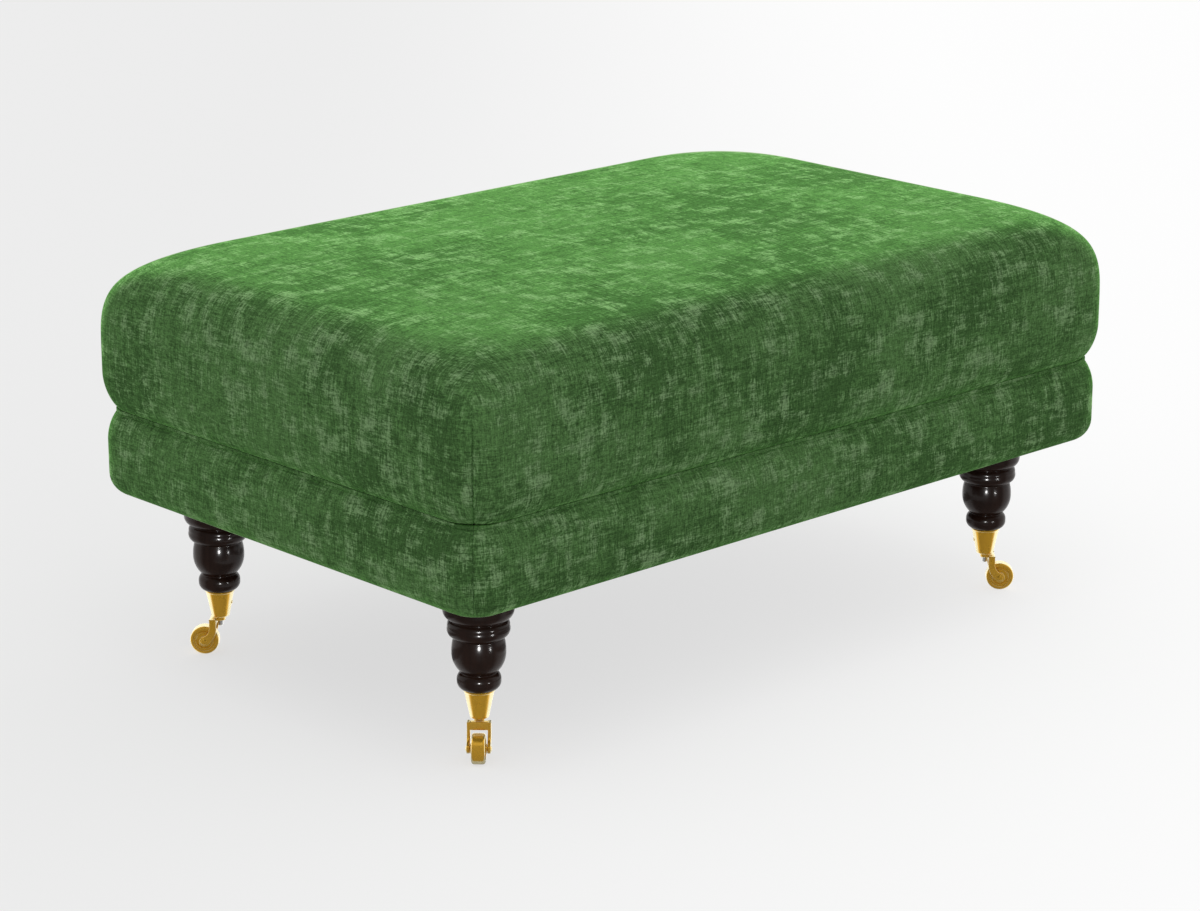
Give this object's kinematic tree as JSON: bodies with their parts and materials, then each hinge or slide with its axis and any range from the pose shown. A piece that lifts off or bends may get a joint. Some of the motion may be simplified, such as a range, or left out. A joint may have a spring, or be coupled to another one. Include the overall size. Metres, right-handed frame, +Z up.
{
  "type": "upholstered footstool",
  "caption": "Rectangular upholstered footstool with a crowned cushion over a padded border, on turned wooden legs with swivelling brass cup castors.",
  "frame": {"origin": "on the floor under the middle of the stool, where the wheels' lowest points and the middle of its plan meet", "axes": "+X along the length, +Y from the front long side to the back one, +Z up"},
  "size_m": [0.94, 0.61, 0.44],
  "materials": {
    "green_fabric": "slubbed chenille, green with lighter and darker patches",
    "foam": "open-cell foam",
    "padding": "white fibre wadding",
    "webbing": "woven brown webbing with a stripe",
    "deck_cloth": "plain woven calico",
    "dust_cloth": "black felted cloth",
    "frame_wood": "planed beech",
    "leg_wood": "near-black brown stain under gloss lacquer",
    "brass": "polished, slightly warm",
    "steel": "bright zinc plate"
  },
  "bodies": {
    "stool": {"back_left_castor_cup": "brass", "back_left_leg": "leg_wood", "back_left_leg_plate": "frame_wood", "back_rail": "frame_wood", "back_right_castor_cup": "brass", "back_right_leg": "leg_wood", "back_right_leg_plate": "frame_wood", "border_cover_back": "green_fabric", "border_cover_front": "green_fabric", "border_cover_left": "green_fabric", "border_cover_right": "green_fabric", "border_padding": "padding", "castor_pintles": "brass", "centre_rail": "frame_wood", "deck_cloth": "deck_cloth", "dust_cover": "dust_cloth", "foam_core": "foam", "front_left_castor_cup": "brass", "front_left_leg": "leg_wood", "front_left_leg_plate": "frame_wood", "front_rail": "frame_wood", "front_right_castor_cup": "brass", "front_right_leg": "leg_wood", "front_right_leg_plate": "frame_wood", "left_rail": "frame_wood", "leg_bolts": "steel", "leg_nuts": "steel", "right_rail": "frame_wood", "seat_cover": "green_fabric", "webbing_crosswise": "webbing", "webbing_lengthwise": "webbing"},
    "front_left_fork": {"front_left_castor_fork": "brass", "front_left_castor_axle": "brass"},
    "front_left_wheel": {"front_left_castor_wheel": "brass"},
    "front_right_fork": {"front_right_castor_fork": "brass", "front_right_castor_axle": "brass"},
    "front_right_wheel": {"front_right_castor_wheel": "brass"},
    "back_left_fork": {"back_left_castor_fork": "brass", "back_left_castor_axle": "brass"},
    "back_left_wheel": {"back_left_castor_wheel": "brass"},
    "back_right_fork": {"back_right_castor_fork": "brass", "back_right_castor_axle": "brass"},
    "back_right_wheel": {"back_right_castor_wheel": "brass"}
  },
  "joints": [
    {"name": "front_left_swivel", "type": "hinge", "parent": "stool", "child": "front_left_fork", "pos_m": [-0.379, -0.209, 0.042], "axis": [0, 0, 1], "continuous": true},
    {"name": "front_left_roll", "type": "hinge", "parent": "front_left_fork", "child": "front_left_wheel", "pos_m": [-0.39137, -0.22137, 0.0155], "axis": [0.7071, -0.7071, 0], "continuous": true},
    {"name": "front_right_swivel", "type": "hinge", "parent": "stool", "child": "front_right_fork", "pos_m": [0.379, -0.209, 0.042], "axis": [0, 0, 1], "continuous": true},
    {"name": "front_right_roll", "type": "hinge", "parent": "front_right_fork", "child": "front_right_wheel", "pos_m": [0.39137, -0.22137, 0.0155], "axis": [0.7071, 0.7071, 0], "continuous": true},
    {"name": "back_left_swivel", "type": "hinge", "parent": "stool", "child": "back_left_fork", "pos_m": [-0.379, 0.209, 0.042], "axis": [0, 0, 1], "continuous": true},
    {"name": "back_left_roll", "type": "hinge", "parent": "back_left_fork", "child": "back_left_wheel", "pos_m": [-0.39137, 0.22137, 0.0155], "axis": [-0.7071, -0.7071, 0], "continuous": true},
    {"name": "back_right_swivel", "type": "hinge", "parent": "stool", "child": "back_right_fork", "pos_m": [0.379, 0.209, 0.042], "axis": [0, 0, 1], "continuous": true},
    {"name": "back_right_roll", "type": "hinge", "parent": "back_right_fork", "child": "back_right_wheel", "pos_m": [0.39137, 0.22137, 0.0155], "axis": [-0.7071, 0.7071, 0], "continuous": true}
  ]
}
